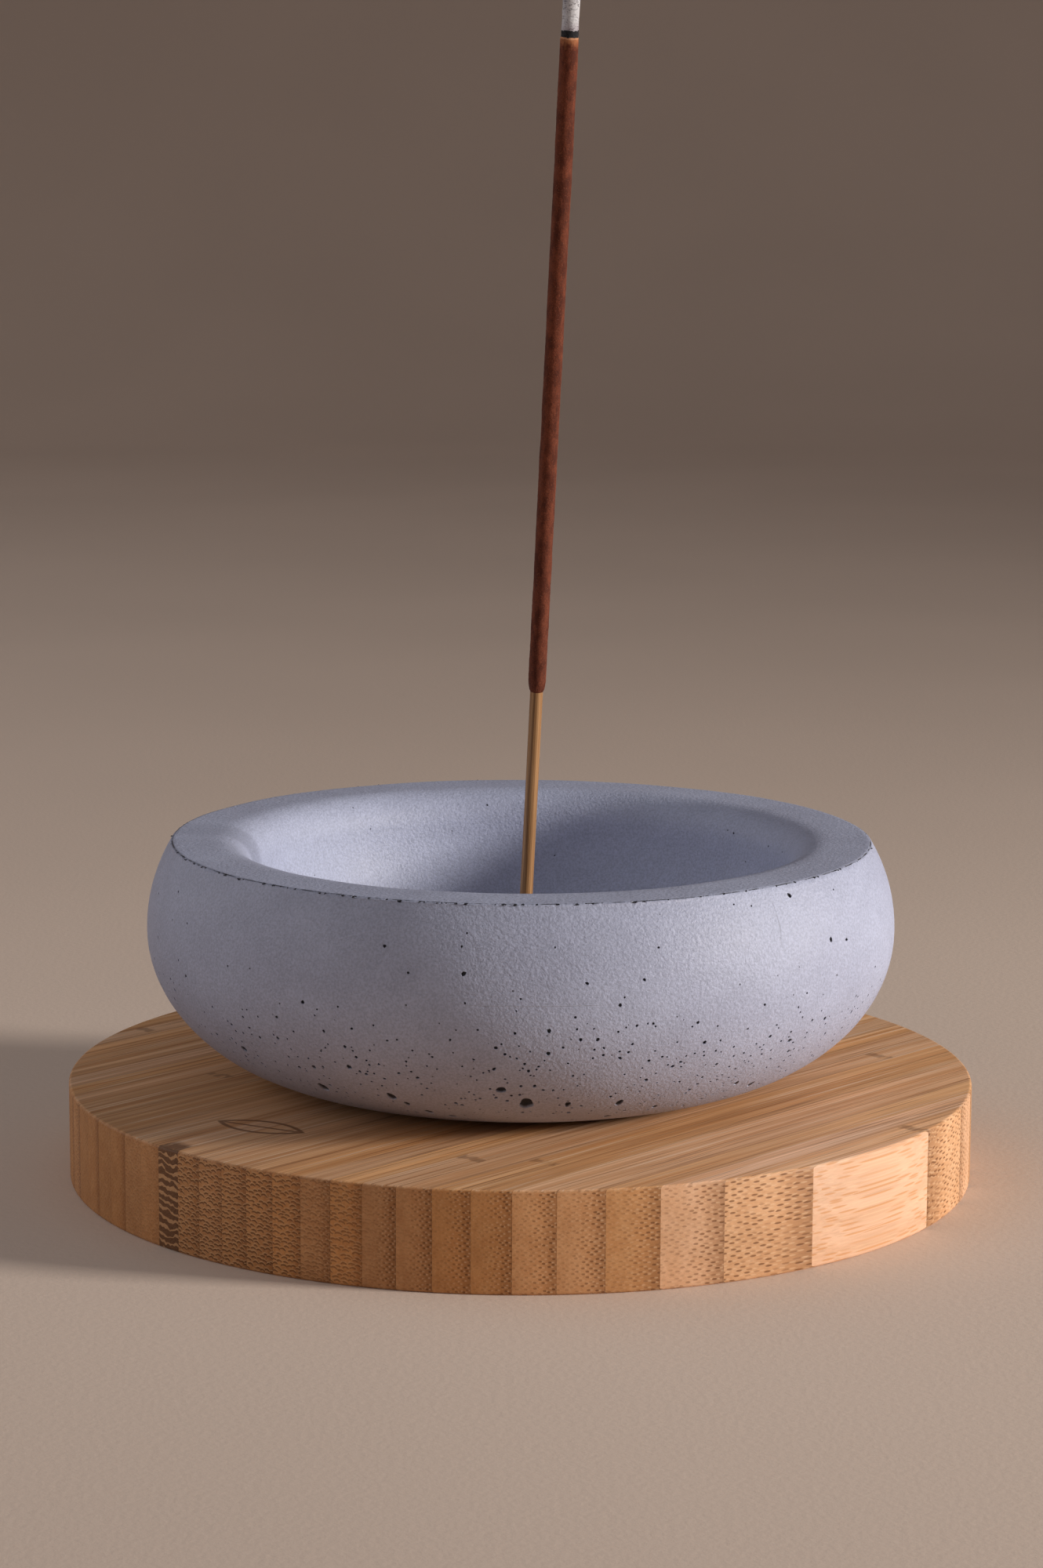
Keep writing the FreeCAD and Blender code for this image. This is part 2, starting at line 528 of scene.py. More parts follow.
# ---- incense stick ----
def stick_tube(name, rows, material, node, corners=56, smooth_angle=50.0):
    """Closed tube along the stick's axis from rows of (distance, radius function of angle)."""
    points, rings = [], []
    for distance, radius in rows:
        rings.append(range(len(points), len(points) + corners))
        for i in range(corners):
            a = TURN * i / corners
            place = STICK_FOOT + STICK_AXIS * distance + off_stick_axis(radius(a), a)
            points.append(tuple(place))
    faces = [face for low, high in zip(rings, rings[1:]) for face in bridge(low, high)]
    faces += [tuple(reversed(rings[0])), tuple(rings[-1])]
    mesh = mesh_from(name, points, faces)
    finish_piece(mesh, "incense_stick", node, material, smooth_angle)


def rough_radius(radius, distance, layers, swell=0.0):
    """Radius by angle: uneven by layers of noise, as (scale, amount, seed), and wider by swell."""

    def value(a):
        x, y = math.cos(a) * radius, math.sin(a) * radius
        waves = (
            amount * noise.noise(Vector((x, y, distance + seed)) / scale)
            for scale, amount, seed in layers
        )
        return radius + swell + sum(waves)

    return value


def splint_rows():
    """The core, split and shaved: soft facets, and a plain end hidden in the paste."""

    def faceted(distance):
        def value(a):
            facets = 0.02 * math.cos(4 * a + 0.6) + 0.012 * math.cos(7 * a + 1.9)
            return CORE_RADIUS - 0.045 + facets + 0.012 * math.sin(distance / 9.0)

        return value

    rows = [(d, faceted(d)) for d in np.linspace(-BORE_DEPTH, PASTE_START + 0.5, 90)]
    rows.append((PASTE_END - 0.3, lambda a: CORE_RADIUS - 0.06))
    return rows


def paste_rows():
    """The coat: it starts thin on the core, is rippled and grainy, and narrows at the char."""
    taper_length, narrow_length = 1.6, 0.35
    rows = []
    for distance in np.linspace(PASTE_START, PASTE_END, 330):
        taper = min(1.0, max(0.0, (distance - PASTE_START) / taper_length)) ** 0.5
        base = CORE_RADIUS - 0.02 + (PASTE_RADIUS - 0.06 - CORE_RADIUS) * taper
        left = PASTE_END - distance
        if left < narrow_length:
            base -= 0.06 * (1 - left / narrow_length)
        ripple = 0.02 * noise.noise(Vector((0, 0, distance + 40.0)) / 0.45)
        layers = [(3.0, 0.05, 5.0), (0.5, 0.024, 90.0)]
        rows.append((distance, rough_radius(base, distance, layers, ripple)))
    return rows


def char_rows():
    heights = np.linspace(PASTE_END - 0.06, CHAR_END + 0.1, 14)
    return [(d, rough_radius(CHAR_RADIUS, d, [(0.4, 0.05, 7.0)])) for d in heights]


def ash_rows():
    """Standing ash, flaking all over and drawn in at its top."""
    top = ASH_END - 0.1
    rows = []
    for distance in np.linspace(CHAR_END, top, 70):
        shrink = 0.55 * max(0.0, 1 - (top - distance) / 1.3) ** 2
        base = ASH_RADIUS - 0.06 - shrink
        rows.append((distance, rough_radius(base, distance, [(1.7, 0.07, 23.0), (0.34, 0.035, 61.0)])))
    return rows


def make_stick():
    stick_tube("core_splint", splint_rows(), core_material(), "stick_core", 40)
    stick_tube("paste_coat", paste_rows(), paste_material(), "incense_paste")
    stick_tube("char_band", char_rows(), char_material(), "char_ring")
    stick_tube("ash_shell", ash_rows(), ash_material(), "ash_column", smooth_angle=60.0)


# ---- materials ----
def rgb(red, green, blue):
    return (red, green, blue, 1.0)


class Graph:
    """Writes the node graph of one material, in millimetres of the object's frame."""

    def __init__(self, name):
        self.material = bpy.data.materials.new(name)
        self.material.use_nodes = True
        self.tree = self.material.node_tree
        self.tree.nodes.clear()
        self.object_place = self.node("ShaderNodeTexCoord", {}).outputs["Object"]

    def node(self, kind, inputs, **settings):
        """New node; inputs maps its sockets to numbers or to the outputs that feed them."""
        made = self.tree.nodes.new(kind)
        for key, value in settings.items():
            setattr(made, key, value)
        for key, value in inputs.items():
            if isinstance(value, bpy.types.NodeSocket):
                self.tree.links.new(value, made.inputs[key])
            else:
                made.inputs[key].default_value = value
        return made

    def math(self, operation, *values):
        inputs = dict(enumerate(values))
        return self.node("ShaderNodeMath", inputs, operation=operation).outputs[0]

    def add(self, *values):
        return reduce(lambda a, b: self.math("ADD", a, b), values)

    def times(self, *values):
        return reduce(lambda a, b: self.math("MULTIPLY", a, b), values)

    def minus(self, a, b):
        return self.math("SUBTRACT", a, b)

    def swing(self, value, amount):
        """A noise of 0 to 1 as minus to plus half the amount."""
        return self.times(self.add(value, -0.5), amount)

    def hypotenuse(self, x, y):
        return self.math("SQRT", self.add(self.times(x, x), self.times(y, y)))

    def ease(self, value, start, end, low=0.0, high=1.0):
        """Smooth step of value from start to end, as low to high."""
        inputs = {"Value": value, "From Min": start, "From Max": end, "To Min": low, "To Max": high}
        return self.node("ShaderNodeMapRange", inputs, interpolation_type="SMOOTHSTEP").outputs[0]

    def near(self, value, outer, inner):
        """1 where the value is within inner of zero, down to 0 at outer."""
        return self.ease(self.math("ABSOLUTE", value), outer, inner)

    def turned(self, rotation=(0.0, 0.0, 0.0)):
        """Place in millimetres after a rotation, given as XYZ angles."""
        return self.scaled(self.object_place, (MM, MM, MM), rotation=rotation)

    def scaled(self, vector, sizes, shift=(0.0, 0.0, 0.0), rotation=(0.0, 0.0, 0.0)):
        """The vector in units of sizes, then turned and moved by shift."""
        scale = [1 / size for size in sizes]
        inputs = {"Vector": vector, "Scale": scale, "Rotation": rotation, "Location": shift}
        return self.node("ShaderNodeMapping", inputs, vector_type="POINT").outputs[0]

    def split(self, vector):
        return self.node("ShaderNodeSeparateXYZ", {0: vector}).outputs

    def join(self, x, y):
        return self.node("ShaderNodeCombineXYZ", {"X": x, "Y": y}).outputs[0]

    def channels(self, color):
        """Red, green and blue of a colour."""
        return self.node("ShaderNodeSeparateColor", {0: color}).outputs

    def noise(self, vector, sizes, shift=(0.0, 0.0, 0.0), detail=2.0, roughness=0.5, distortion=0.0):
        """Smooth noise of 0 to 1 whose lumps have those sizes along x, y and z."""
        return self.node("ShaderNodeTexNoise", {
            "Vector": self.scaled(vector, sizes, shift), "Scale": 1.0, "Detail": detail,
            "Roughness": roughness, "Distortion": distortion,
        }).outputs[0]

    def cells(self, vector, dimensions="3D", randomness=1.0):
        """Nearest cell: outputs Distance to its centre, its random Color and its Position."""
        inputs = {"Vector": vector, "Scale": 1.0, "Randomness": randomness}
        return self.node("ShaderNodeTexVoronoi", inputs, voronoi_dimensions=dimensions).outputs

    def mix(self, factor, a, b, blend="MIX"):
        inputs = {0: factor, 6: a, 7: b}
        return self.node("ShaderNodeMix", inputs, data_type="RGBA", blend_type=blend).outputs[2]

    def paint(self, color, over, *strengths):
        """The colour with another one over it, as strong as the product of the strengths."""
        return self.mix(self.times(*strengths), color, over)

    def shade(self, color, factor):
        """The colour times a factor."""
        inputs = {0: color, "Scale": factor}
        return self.node("ShaderNodeVectorMath", inputs, operation="SCALE").outputs[0]

    def finish(self, color, roughness, height, bump_mm, specular):
        """Ends in a Principled shader; height is 0 to 1 and bump_mm is how deep that is."""
        bump = self.node("ShaderNodeBump", {
            "Strength": 1.0, "Distance": bump_mm * MM, "Height": height,
        })
        shader = self.node("ShaderNodeBsdfPrincipled", {
            "Base Color": color, "Roughness": roughness, "Normal": bump.outputs[0],
            "Specular IOR Level": specular,
        })
        self.node("ShaderNodeOutputMaterial", {0: shader.outputs[0]})
        return self.material


class BambooGraph(Graph):
    """One strip of bamboo: fibre bundles along it, denser to one side, and one culm node.

    middle is the strip's middle across the tray, in millimetres from the tray's centre. share runs
    from 0 at the strip's pale side to 1 at its skin side, flat is 1 on the sanded faces and 0 on the
    sawn edge, and squareness is 1 where that edge is square to the fibres.
    """

    def __init__(self, name, middle, seed, look):
        super().__init__(name)
        self.seed, self.look = seed, look
        self.place = self.turned((0.0, 0.0, -GRAIN_ANGLE))
        along, across, self.up = self.split(self.place)
        self.side = self.minus(self.times(across, -1.0), middle)
        self.share = self.add(self.times(self.side, 1 / STRIP_WIDTH), 0.5)
        self.skin_depth = min(1.0, 0.1 + 1.8 * look["seam"])
        normal = self.node("ShaderNodeNewGeometry", {}).outputs["Normal"]
        self.flat = self.ease(self.math("ABSOLUTE", self.split(normal)[2]), 0.4, 0.9)
        grain = (math.cos(GRAIN_ANGLE), math.sin(GRAIN_ANGLE), 0.0)
        inputs = {0: normal, 1: grain}
        facing = self.node("ShaderNodeVectorMath", inputs, operation="DOT_PRODUCT")
        self.squareness = self.math("ABSOLUTE", facing.outputs["Value"])

        # the fibres drift a little along the strip and swirl about the culm node
        self.swirl = self.noise(self.place, (2.2, 1.5, 1.5), (seed, 0.0, 3.0), 1.0)
        self.from_node = self.minus(along, look["node_at"])
        bend = self.times(self.swing(self.swirl, 2.4), self.near(self.from_node, 7.0, 0.5))
        drift_a = self.noise(self.place, (60.0, 14.0, 14.0), (seed, seed * 1.7, 0.0), 1.0)
        drift_b = self.noise(self.place, (55.0, 14.0, 14.0), (seed * 2.3, 5.0, seed), 1.0)
        self.fibre_side = self.add(self.side, self.add(self.swing(drift_a, 0.9), bend))
        self.fibre_up = self.add(self.up, self.add(self.swing(drift_b, 0.9), bend))

    def by_face(self, edge, face):
        """One value on the sawn edge and another on the sanded faces."""
        return self.ease(self.flat, 0.0, 1.0, edge, face)

    def lattice(self, across, up, spacing, jitter):
        """Staggered rows: place relative to the nearest member, in millimetres, and its colour."""
        columns = self.times(across, 1 / spacing)
        rows = self.times(up, 1 / spacing)
        slant_a = self.add(columns, rows, self.seed)
        slant_b = self.add(self.minus(columns, rows), self.seed * 0.37)
        place = self.join(slant_a, slant_b)
        cell = self.cells(place, "2D", jitter)
        inputs = {0: place, 1: cell["Position"]}
        offset = self.node("ShaderNodeVectorMath", inputs, operation="SUBTRACT")
        a, b, _ = self.split(offset.outputs[0])
        x = self.times(self.add(a, b), spacing / 2)
        y = self.times(self.minus(a, b), spacing / 2)
        return x, y, cell["Color"]

    def oval(self, x, y, half_width, half_height):
        """Distance from the middle, as a share of an ellipse's half width and height."""
        return self.hypotenuse(self.times(x, 1 / half_width), self.times(y, 1 / half_height))


def wood_streaks(g):
    """Colour of the wood, with its fine streaks and the threads, which are for the relief too, and
    painted light that brightens the sanded faces.
    """
    seed, tone, warmth = g.seed, g.look["tone"], g.look["warmth"]
    fine = g.noise(g.place, (30.0, 0.20, 0.24), (seed, 0, seed), 3.0, 0.62)
    wide = g.noise(g.place, (95.0, 1.3, 2.2), (0, seed, seed))
    cloud = g.noise(g.place, (26.0, 7.0, 7.0), (seed, seed, 0), 1.0)
    thread = g.noise(g.place, (38.0, 0.55, 0.6), (3.0, seed, seed), 2.0, 0.55)
    thread_strength = g.add(g.times(g.flat, 0.8), 0.2)
    dark_thread = g.times(g.ease(thread, 0.42, 0.33), thread_strength)
    pale_thread = g.times(g.ease(thread, 0.58, 0.67), thread_strength)

    light = rgb(0.63 * tone, (0.385 - 0.035 * warmth) * tone, (0.235 - 0.075 * warmth) * tone)
    brown = rgb(0.46 * tone, (0.232 - 0.03 * warmth) * tone, (0.108 - 0.04 * warmth) * tone)
    even = g.mix(g.ease(wide, 0.35, 0.65, 0.55, 0.85), brown, light)
    streaky = g.mix(g.ease(wide, 0.30, 0.68, 0.12, 1.0), brown, light)
    color = g.mix(g.flat, even, streaky)
    toward_skin = g.ease(g.share, 0.35, 1.0)
    color = g.paint(color, brown, toward_skin, g.skin_depth, g.by_face(0.50, 0.15))
    streak = g.times(g.ease(fine, 0.25, 0.75, -0.27, 0.24), g.by_face(0.25, 1.0))
    # painted light: the sanded faces are painted about a fifth brighter than the sawn edge, making up
    # for the low key light on the tray's top
    color = g.shade(color, g.add(g.by_face(1.05, 1.25), streak))
    color = g.shade(color, g.ease(cloud, 0.3, 0.7, 0.95, 1.05))
    skin = g.times(g.ease(g.share, 0.62, 1.0), g.by_face(0.50, 0.12))
    color = g.paint(color, rgb(0.24, 0.110, 0.045), skin, g.skin_depth)
    color = g.paint(color, rgb(0.25, 0.110, 0.045), dark_thread, 0.58)
    color = g.paint(color, rgb(0.82, 0.62, 0.45), pale_thread, 0.50)
    end_grain = g.ease(g.squareness, 0.30, 0.90)
    color = g.mix(end_grain, color, rgb(0.98, 0.82, 0.60), "MULTIPLY")
    return color, fine, dark_thread


def fibre_bundles(g, color, torn):
    """Adds the bundles on the sawn edge, each a dark dot, partly painted shade in its pore, with a
    pale fleck beside it, partly pale fibre sheath and partly a painted highlight.
    """
    x, y, hue = g.lattice(g.fibre_side, g.fibre_up, 0.88, g.look["jitter"])
    # painted highlight: the pale fleck on one side of each dot is partly the fibre sheath's pale
    # colour and partly light on the bundle's bump
    pale_bead_and_highlight = g.ease(g.oval(g.add(x, -0.20), y, 0.15, 0.12), 1.3, 0.7)
    dot = g.ease(g.oval(g.add(x, 0.10), y, 0.18, 0.15), 1.25, 0.65)
    dot = g.times(dot, g.ease(g.channels(hue)[0], 0.0, 0.6, 0.35, 1.0))
    strength = g.ease(g.share, 0.15, 0.98, g.look["dots"], g.look["skin_dots"])
    strength = g.times(strength, g.by_face(1.0, 0.12), g.ease(torn, 0.1, 0.8, 1.0, 0.3))
    color = g.paint(color, rgb(0.84, 0.60, 0.38), pale_bead_and_highlight, strength, 0.30)
    sunk = g.times(dot, strength)
    # the dark dot is partly the bundle's own brown and partly painted shade in its pore
    color = g.paint(color, g.look["ink"], sunk, 0.82)
    return color, dot, sunk


def torn_scales(g, color, torn):
    """Adds the overlapping scales into which fibres are torn by a cut square to them, each with its
    lip painted pale as lit and the band under it painted dark as shade.
    """
    in_section = g.join(g.side, g.up)
    ruffle = g.noise(in_section, (1.5, 0.9, 1.0), (g.seed, g.seed, 0), 1.0)
    slanted = g.add(g.fibre_up, g.times(g.side, 0.12))
    x, y, _ = g.lattice(g.fibre_side, slanted, 1.15, 0.62)
    ridge = g.add(y, g.times(x, x, 0.9), g.times(x, g.swing(ruffle, 1.3)))
    # painted light: each scale's lip is painted pale as a highlight, and the band under it dark as its
    # shade
    pale_edge_highlight = g.times(g.near(g.add(ridge, -0.15), 0.13, 0.03), torn)
    under_edge_shade = g.times(g.near(g.add(ridge, 0.05), 0.20, 0.06), torn)
    color = g.paint(color, rgb(0.130, 0.048, 0.012), under_edge_shade, 0.78)
    color = g.paint(color, rgb(0.64, 0.38, 0.19), pale_edge_highlight, 0.6)
    return color, g.minus(pale_edge_highlight, under_edge_shade)


def culm_node(g, color):
    """Adds the culm node: darker, with pale ruffled lines across it."""
    width = g.look["node_width"]
    uneven = g.add(g.from_node, g.swing(g.swirl, 2.2))
    in_node = g.near(uneven, width, width * 0.35)
    warp = g.noise(g.place, (9.0, 2.1, 2.8), (g.seed, 0, g.seed), 2.0, 0.55)
    slanted = g.add(g.up, g.times(g.side, 0.16))
    wave = g.add(g.times(slanted, 0.85), g.times(warp, 2.0))
    thickness = g.ease(g.swirl, 0.3, 0.7, 0.02, 0.19)
    line = g.ease(g.math("PINGPONG", wave, 0.5), g.add(thickness, 0.09), thickness)
    node_color = g.mix(line, rgb(0.110, 0.044, 0.016), rgb(0.52, 0.29, 0.14))
    return g.mix(g.times(in_node, g.look["node_depth"]), color, node_color)


def glue_line(g, color):
    """Adds the dark seam on the skin side, which comes and goes."""
    broken = g.noise(g.place, (6.0, 6.0, 1.2), (g.seed, 1.0, 0))
    broken = g.ease(broken, 0.35, 0.65, 0.12, 0.7)
    seam = g.times(g.ease(g.share, 0.955, 0.99), broken, g.look["seam"])
    return g.mix(seam, color, rgb(0.20, 0.088, 0.032)), seam


def engraving(g, color):
    """Adds a plain leaf outline with a vein, burnt into the tray's top at the front left."""
    leaf_x, leaf_y, leaf_turn = -38.0, -36.0, math.radians(-28)
    half_length, half_width, line = 7.0, 3.0, 0.34
    mapping = g.node("ShaderNodeMapping", {
        "Vector": g.object_place, "Location": (leaf_x * MM, leaf_y * MM, 0.0),
        "Rotation": (0.0, 0.0, leaf_turn), "Scale": (MM, MM, MM),
    }, vector_type="TEXTURE")
    x, y, _ = g.split(mapping.outputs[0])
    bow = (half_length**2 - half_width**2) / (2 * half_width)
    arcs = [g.hypotenuse(x, g.add(y, centre)) for centre in (bow, -bow)]
    outline = g.minus(g.math("MAXIMUM", *arcs), bow + half_width)
    edge = g.near(outline, line * 1.6, line * 0.6)
    vein = g.times(g.near(y, line * 1.3, line * 0.4), g.ease(outline, 0.1, -0.5))
    burnt = g.math("MAXIMUM", edge, vein)
    on_top = g.math("GREATER_THAN", g.up, TRAY_TOP - 0.05)
    return g.paint(color, rgb(0.15, 0.062, 0.024), burnt, on_top, 0.8)


def bamboo_material(name, middle, seed, look):
    g = BambooGraph(name, middle, seed, look)
    color, fine, dark_thread = wood_streaks(g)
    torn = g.times(g.ease(g.squareness, 0.78, 0.97), g.look["torn"])
    color, dot, sunk_dot = fibre_bundles(g, color, torn)
    color, raised_scale = torn_scales(g, color, torn)
    color = culm_node(g, color)
    color, seam = glue_line(g, color)
    color = engraving(g, color)
    lines = g.times(g.add(seam, dark_thread), -0.35)
    height = g.add(g.times(fine, 0.30), g.times(sunk_dot, -0.40), g.times(raised_scale, 0.75), lines)
    rough = g.add(g.ease(fine, 0.2, 0.8, 0.44, 0.60), g.times(dot, 0.15))
    return g.finish(color, rough, height, 0.05, 0.32)


# strips by their number from the tray's middle one, which is 0, towards the front right: (tone,
# warmth, strength of the dots on the pale side, of the torn scales, and of the seam and dark skin)
STRIP_LOOKS = {
    -7: (0.81, 0.7, 0.1, 0.1, 0.0), -6: (0.82, 0.7, 0.1, 0.1, 0.9), -5: (0.77, 0.8, 0.1, 0.1, 0.0),
    -4: (0.78, 0.8, 0.1, 0.1, 0.9), -3: (0.82, 0.5, 0.1, 0.2, 0.0), -2: (0.84, 0.5, 0.1, 0.2, 0.2),
    -1: (0.86, 0.2, 0.2, 0.3, 0.4), 0: (0.84, 0.5, 0.3, 1.0, 0.5), 1: (0.88, 0.3, 0.3, 1.0, 0.4),
    2: (0.86, 0.5, 0.3, 1.0, 0.5), 3: (0.90, 0.6, 0.3, 1.0, 0.4), 4: (0.94, 0.8, 0.3, 0.9, 0.5),
    5: (0.84, 0.3, 0.2, 0.5, 0.7), 6: (1.00, 0.9, 0.3, 0.8, 0.6), 7: (0.86, 0.2, 0.1, 0.3, 0.9),
    8: (0.92, 0.3, 0.1, 0.3, 0.6), 9: (0.94, 0.8, 0.2, 0.3, 0.8), 10: (0.90, 0.8, 0.2, 0.3, 0.8),
    11: (1.02, 0.3, 0.3, 0.3, 0.8), 12: (1.02, 0.3, 0.3, 0.2, 0.6), 13: (0.95, 0.8, 0.3, 0.2, 0.5),
    14: (1.12, -0.2, 0.4, 0.2, 0.7), 15: (1.08, 0.4, 0.9, 0.2, 0.6), 16: (1.24, -0.5, 0.8, 0.2, 0.1),
}
# dark brown of the bundles' dots, partly painted shade in their pores
DARK_DOT_AND_PORE_SHADE = rgb(0.165, 0.062, 0.018)
ORANGE_INK = rgb(0.60, 0.27, 0.095)


def make_bamboo_materials():
    """A material for each strip, so that neighbours differ in tone, fibres and culm node."""
    rng = random.Random(4)
    materials = []
    for number, node in enumerate(STRIP_NODES):
        index = number - MIDDLE_STRIP
        common = (rng.uniform(0.86, 1.06), rng.uniform(0.0, 1.0), rng.uniform(0.1, 0.4), 0.8, 0.7)
        look = dict(zip(("tone", "warmth", "dots", "torn", "seam"), STRIP_LOOKS.get(index, common)))
        look.update(ink=DARK_DOT_AND_PORE_SHADE, jitter=0.5, skin_dots=0.2 if -8 < index < -1 else 1.0)
        look.update(node_at=rng.uniform(-45, 170), node_width=1.3, node_depth=0.45)
        if node == STRIP_NODES[-1]:
            look.update(ink=ORANGE_INK, jitter=0.8)
        elif index == -1:
            look.update(node_at=-69.6, node_width=4.5, node_depth=0.85)
        elif index == 7:
            look.update(node_at=-44.0)
        name = node.replace("bamboo", "bamboo_look")
        materials.append(bamboo_material(name, index * STRIP_WIDTH, rng.uniform(0, 40), look))
    return materials


def concrete_material():
    """Fine cast concrete: cool grey and sandy, with pinholes low on the wall and small marks, and
    painted shade in its pits, in its pinholes and under the burr at the rim.
    """
    g = Graph("cast_concrete")
    place = g.turned()
    x, y, z = g.split(place)
    cloud = g.noise(place, (16.0, 16.0, 11.0), detail=3.0, roughness=0.55)
    patch = g.noise(place, (4.5, 4.5, 3.5), (7.0, 0, 0))
    sand = g.noise(place, (0.36, 0.36, 0.36), roughness=0.65)
    grit = g.noise(place, (0.6, 0.6, 0.5), (3.0, 1.0, 0))
    color = g.mix(g.ease(cloud, 0.3, 0.7), rgb(0.368, 0.396, 0.528), rgb(0.398, 0.430, 0.568))
    color = g.shade(color, g.ease(patch, 0.3, 0.7, 0.975, 1.025))
    color = g.shade(color, g.ease(sand, 0.3, 0.7, 0.87, 1.12))

    # pinholes too small to be modelled, painted dark as the shade inside them
    cell = g.cells(g.scaled(place, (1.15, 1.15, 1.15), (2.0, 5.0, 1.0)))
    chance = g.channels(cell["Color"])
    low_wall = g.ease(z, BASE_Z + 30.0, BASE_Z + 8.0, 0.03, 0.5)
    chosen = g.math("LESS_THAN", chance[0], low_wall)
    size = g.add(g.times(chance[1], 0.07), 0.05)
    shaded_pinhole = g.times(chosen, g.ease(cell["Distance"], g.add(size, 0.03), size))
    color = g.paint(color, rgb(0.03, 0.03, 0.035), shaded_pinhole, 0.8)

    # the burr left where the mould met the rim: a thin dark line painted as its shadow, broken up
    from_edge = g.add(
        g.math("ABSOLUTE", g.add(g.hypotenuse(x, y), 0.09 - RIM_RADIUS)),
        g.math("ABSOLUTE", g.add(z, 0.07 - RIM_Z)),
    )
    pieces = g.noise(place, (2.6, 2.6, 2.6), (0, 9.0, 0), 3.0, 0.6)
    burr_shadow_line = g.times(g.ease(from_edge, 0.20, 0.08), g.ease(pieces, 0.42, 0.58, 0.15, 0.85))
    color = g.mix(burr_shadow_line, color, rgb(0.06, 0.06, 0.07))

    # a pale scratch at the front, just below the widest part
    in_front = g.math("LESS_THAN", y, 0.0)
    scratch_length = g.times(g.ease(x, -8.0, -6.5), g.ease(x, 14.0, 9.0))
    scratch = g.times(g.near(g.add(z, 0.3 - WIDEST_Z), 0.07, 0.02), scratch_length, in_front)
    color = g.paint(color, rgb(0.58, 0.60, 0.70), scratch, 0.32)

    # a faint upright hairline below the rim, at the front right
    turn = math.radians(41)
    across = g.add(g.times(x, math.cos(turn)), g.times(y, math.sin(turn)))
    beside = g.add(across, g.swing(patch, 1.2))
    hairline_length = g.times(g.ease(z, RIM_Z - 8.5, RIM_Z - 7.0), g.ease(z, RIM_Z - 1.6, RIM_Z - 2.8))
    hairline = g.times(g.near(beside, 0.11, 0.03), hairline_length, in_front)
    color = g.paint(color, rgb(0.12, 0.12, 0.15), hairline, 0.38)

    # painted shade: the deeper a point lies in a pit, the nearer to black it is painted
    pit_depth_for_shade = g.node("ShaderNodeAttribute", {}, attribute_name="pit").outputs["Fac"]
    color = g.mix(g.ease(pit_depth_for_shade, 0.02, 0.5, 0.0, 0.94), color, rgb(0.012, 0.012, 0.014))

    raised = g.add(g.times(sand, 0.5), g.times(grit, 0.7), g.times(scratch, 0.4))
    height = g.add(raised, g.times(shaded_pinhole, -1.5), g.times(burr_shadow_line, -0.8))
    rough = g.ease(cloud, 0.3, 0.7, 0.52, 0.62)
    return g.finish(color, rough, height, 0.13, 0.42)


# rotation that turns the stick's axis upright, and how high the bowl's floor is after it
STICK_TURN = tuple(STICK_AXIS.rotation_difference(Vector((0, 0, 1))).to_euler("XYZ"))
TURNED_FLOOR = STICK_FOOT.z * STICK_AXIS.z


def core_material():
    """Bare bamboo splint, with fibres along it."""
    g = Graph("bamboo_splint")
    place = g.turned(STICK_TURN)
    fibre = g.noise(place, (0.16, 0.16, 14.0), detail=3.0, roughness=0.6)
    broad = g.noise(place, (0.6, 0.6, 30.0), (4.0, 0, 0), 1.0)
    color = g.mix(g.ease(fibre, 0.3, 0.7), rgb(0.25, 0.118, 0.042), rgb(0.46, 0.25, 0.105))
    color = g.shade(color, g.ease(broad, 0.3, 0.7, 0.85, 1.1))
    rough = g.ease(fibre, 0.2, 0.8, 0.45, 0.6)
    return g.finish(color, rough, fibre, 0.03, 0.35)


def paste_material():
    """Incense paste: powdered wood in binder, red brown and grainy, scorched pale at its end."""
    g = Graph("incense_paste_look")
    place = g.turned(STICK_TURN)
    from_end = g.minus(TURNED_FLOOR + PASTE_END, g.split(place)[2])
    grain = g.noise(place, (0.16, 0.16, 0.2), detail=3.0, roughness=0.65)
    patch = g.noise(place, (1.3, 1.3, 2.6), (5.0, 0, 0), roughness=0.6)
    speck = g.cells(g.scaled(place, (0.34, 0.34, 0.42)))["Distance"]
    color = g.mix(g.ease(patch, 0.3, 0.7), rgb(0.082, 0.019, 0.009), rgb(0.160, 0.042, 0.020))
    color = g.shade(color, g.ease(grain, 0.28, 0.72, 0.68, 1.32))
    color = g.mix(g.ease(speck, 0.22, 0.1, 0.0, 0.5), color, rgb(0.30, 0.120, 0.070))
    blotch = g.noise(place, (0.5, 0.5, 0.9), (9.0, 0, 0), roughness=0.6)
    scorched = g.ease(g.add(from_end, g.swing(blotch, 2.4)), 1.6, 0.0)
    color = g.paint(color, rgb(0.42, 0.165, 0.070), scorched, 0.75)
    lip = g.ease(g.add(from_end, g.swing(blotch, 0.5)), 0.35, 0.12)
    color = g.paint(color, rgb(0.62, 0.33, 0.19), lip, 0.6)
    height = g.add(g.times(grain, 0.7), g.times(speck, 0.5))
    rough = g.ease(grain, 0.3, 0.7, 0.72, 0.9)
    return g.finish(color, rough, height, 0.07, 0.2)


def char_material():
    """The burning edge once it is out: black crust."""
    g = Graph("charred_edge")
    crust = g.noise(g.turned(STICK_TURN), (0.2, 0.2, 0.2), detail=3.0, roughness=0.7)
    color = g.mix(g.ease(crust, 0.4, 0.75), rgb(0.006, 0.006, 0.008), rgb(0.035, 0.035, 0.042))
    rough = g.ease(crust, 0.3, 0.7, 0.65, 0.9)
    return g.finish(color, rough, crust, 0.09, 0.25)


